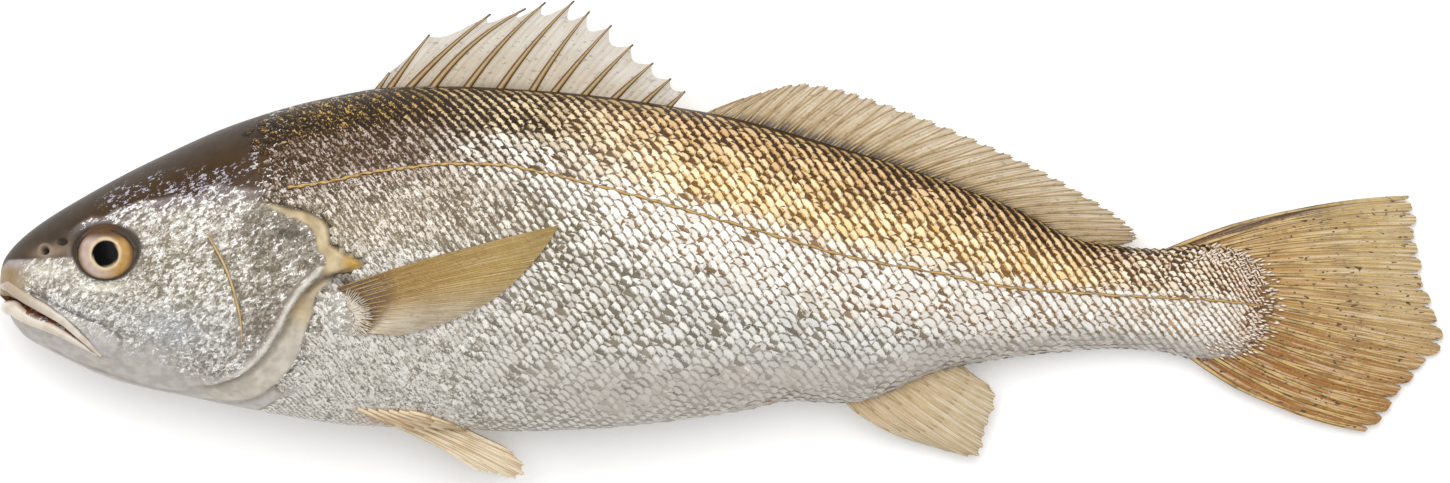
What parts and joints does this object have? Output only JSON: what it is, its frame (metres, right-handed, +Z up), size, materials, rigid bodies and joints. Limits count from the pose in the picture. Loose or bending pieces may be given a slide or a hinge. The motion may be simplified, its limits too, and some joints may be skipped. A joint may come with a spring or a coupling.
{
  "type": "whole raw fish",
  "caption": "Whole raw round fish lying on its right side: closed scaled body, spiny and soft back fins, fan tail, belly fins, gill covers and slightly open mouth.",
  "frame": {"origin": "middle of the bounding box, on the table plane under the fish", "axes": "+X from the head to the tail, +Y from the belly to the back, +Z up out of the left flank, with the right flank on the table"},
  "size_m": [0.4198, 0.1388, 0.0505],
  "materials": {
    "fish_skin": "wet silver scales, dark olive-brown back, tan fins",
    "wet_eye": "wet, clear and glossy, black pupil in a pale gold iris"
  },
  "bodies": {
    "root": {"fish": "fish_skin", "eye_left": "wet_eye", "eye_right": "wet_eye"}
  },
  "joints": []
}
